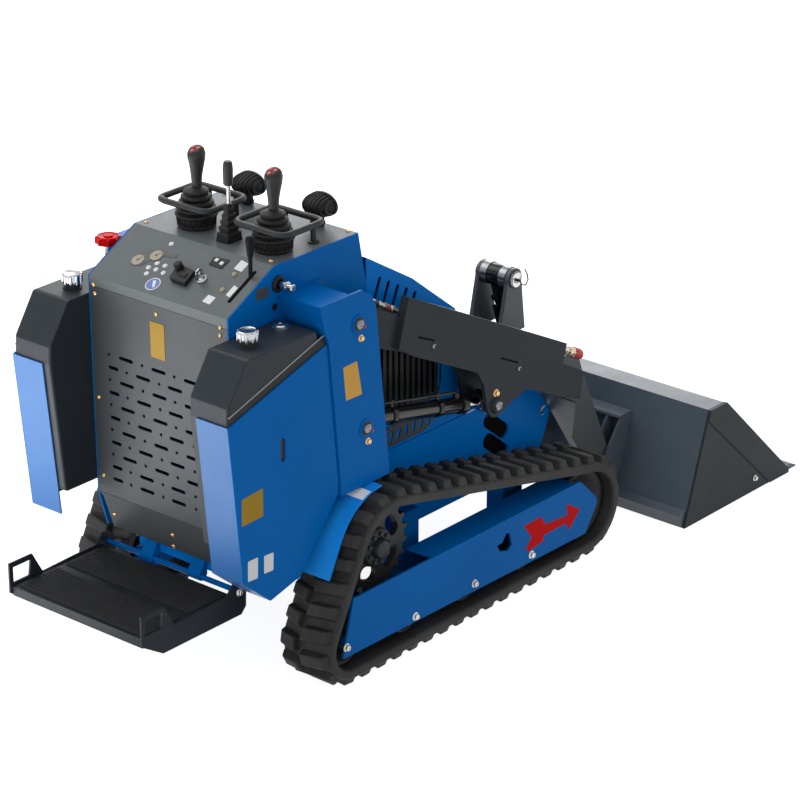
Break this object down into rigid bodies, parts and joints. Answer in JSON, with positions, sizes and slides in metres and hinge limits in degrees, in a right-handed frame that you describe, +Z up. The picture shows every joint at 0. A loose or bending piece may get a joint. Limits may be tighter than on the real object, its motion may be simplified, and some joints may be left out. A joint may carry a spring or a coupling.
{
  "type": "mini skid steer loader",
  "caption": "Compact stand-on loader on rubber tracks with lift arms, a tilting bucket, side tanks, a lever console and a fold-up operator's step.",
  "frame": {"origin": "on the ground under the middle of the machine's length and width", "axes": "+X forward to the bucket, +Y left, +Z up"},
  "size_m": [2.31, 1.036, 1.26],
  "materials": {
    "chassis_frame": "gloss",
    "engine_block": "rough",
    "hood": "gloss",
    "side_grilles": "satin",
    "console_sides": "gloss",
    "console_front": "gloss",
    "rear_panel": "satin",
    "instrument_panel": "satin",
    "arm_towers": "gloss",
    "tower_pins": "polished",
    "fuel_tank": "satin",
    "hydraulic_tank": "satin",
    "tank_caps": "polished",
    "tank_guards": "gloss",
    "motor_covers": "gloss",
    "drive_motors": "painted",
    "drive_sprockets": "satin",
    "front_idlers": "satin",
    "rear_idlers": "satin",
    "track_rollers": "satin",
    "track_frames": "gloss",
    "track_right": "matte",
    "track_left": "matte",
    "step_bracket": "gloss",
    "joysticks": "satin",
    "control_guards": "satin",
    "control_levers": "satin",
    "work_lamps": "satin",
    "platform_deck": "satin",
    "platform_mats": "matte",
    "lift_arm_right": "satin",
    "lift_arm_left": "satin",
    "arm_cross_member": "satin",
    "tilt_pin": "polished",
    "lift_barrels": "satin",
    "lift_rods": "polished",
    "tilt_barrel": "satin",
    "tilt_rod": "polished",
    "quick_attach": "satin",
    "bucket_shell": "satin",
    "bucket_sides": "satin",
    "cutting_edge": "satin"
  },
  "bodies": {
    "machine": {"chassis_frame": "chassis_frame", "engine_block": "engine_block", "hood": "hood", "side_grilles": "side_grilles", "console_sides": "console_sides", "console_front": "console_front", "rear_panel": "rear_panel", "instrument_panel": "instrument_panel", "arm_towers": "arm_towers", "tower_pins": "tower_pins", "fuel_tank": "fuel_tank", "hydraulic_tank": "hydraulic_tank", "tank_caps": "tank_caps", "tank_guards": "tank_guards", "motor_covers": "motor_covers", "drive_motors": "drive_motors", "drive_sprockets": "drive_sprockets", "front_idlers": "front_idlers", "rear_idlers": "rear_idlers", "track_rollers": "track_rollers", "track_frames": "track_frames", "track_right": "track_right", "track_left": "track_left", "step_bracket": "step_bracket", "joysticks": "joysticks", "control_guards": "control_guards", "control_levers": "control_levers", "work_lamps": "work_lamps"},
    "platform": {"platform_deck": "platform_deck", "platform_mats": "platform_mats"},
    "arms": {"lift_arm_right": "lift_arm_right", "lift_arm_left": "lift_arm_left", "arm_cross_member": "arm_cross_member", "tilt_pin": "tilt_pin"},
    "lift_barrels": {"lift_barrels": "lift_barrels"},
    "lift_rods": {"lift_rods": "lift_rods"},
    "tilt_barrel": {"tilt_barrel": "tilt_barrel"},
    "tilt_rod": {"tilt_rod": "tilt_rod"},
    "bucket": {"quick_attach": "quick_attach", "bucket_shell": "bucket_shell", "bucket_sides": "bucket_sides", "cutting_edge": "cutting_edge"}
  },
  "joints": [
    {"name": "lift", "type": "hinge", "parent": "machine", "child": "arms", "pos_m": [-0.535, 0, 0.9], "axis": [0, -1, 0], "range_deg": [0, 75]},
    {"name": "tilt", "type": "hinge", "parent": "arms", "child": "bucket", "pos_m": [0.585, 0, 0.11], "axis": [0, 1, 0], "range_deg": [-20, 80]},
    {"name": "lift_barrel_swing", "type": "hinge", "parent": "machine", "child": "lift_barrels", "pos_m": [-0.509, 0, 0.623], "axis": [0, -1, 0], "range_deg": [0, 67.17]},
    {"name": "lift_rod_slide", "type": "slide", "parent": "lift_barrels", "child": "lift_rods", "axis": [0.9779, 0, -0.2093], "range_m": [0, 0.32625]},
    {"name": "tilt_barrel_swing", "type": "hinge", "parent": "arms", "child": "tilt_barrel", "pos_m": [0.447, 0, 0.652], "axis": [0, 1, 0], "range_deg": [-4.41, 1.11]},
    {"name": "tilt_rod_slide", "type": "slide", "parent": "tilt_barrel", "child": "tilt_rod", "axis": [0.3084, 0, -0.9513], "range_m": [-0.01912, 0.0762]},
    {"name": "step_fold", "type": "hinge", "parent": "machine", "child": "platform", "pos_m": [-0.82, 0, 0.258], "axis": [0, 1, 0], "range_deg": [0, 70]}
  ],
  "couplings": [
    {"joint": "lift_barrel_swing", "follows": "lift", "ratio": 0.8955},
    {"joint": "lift_rod_slide", "follows": "lift", "m_per_rad": 0.24916},
    {"joint": "tilt_barrel_swing", "follows": "tilt", "ratio": -0.055},
    {"joint": "tilt_rod_slide", "follows": "tilt", "m_per_rad": 0.0545}
  ]
}
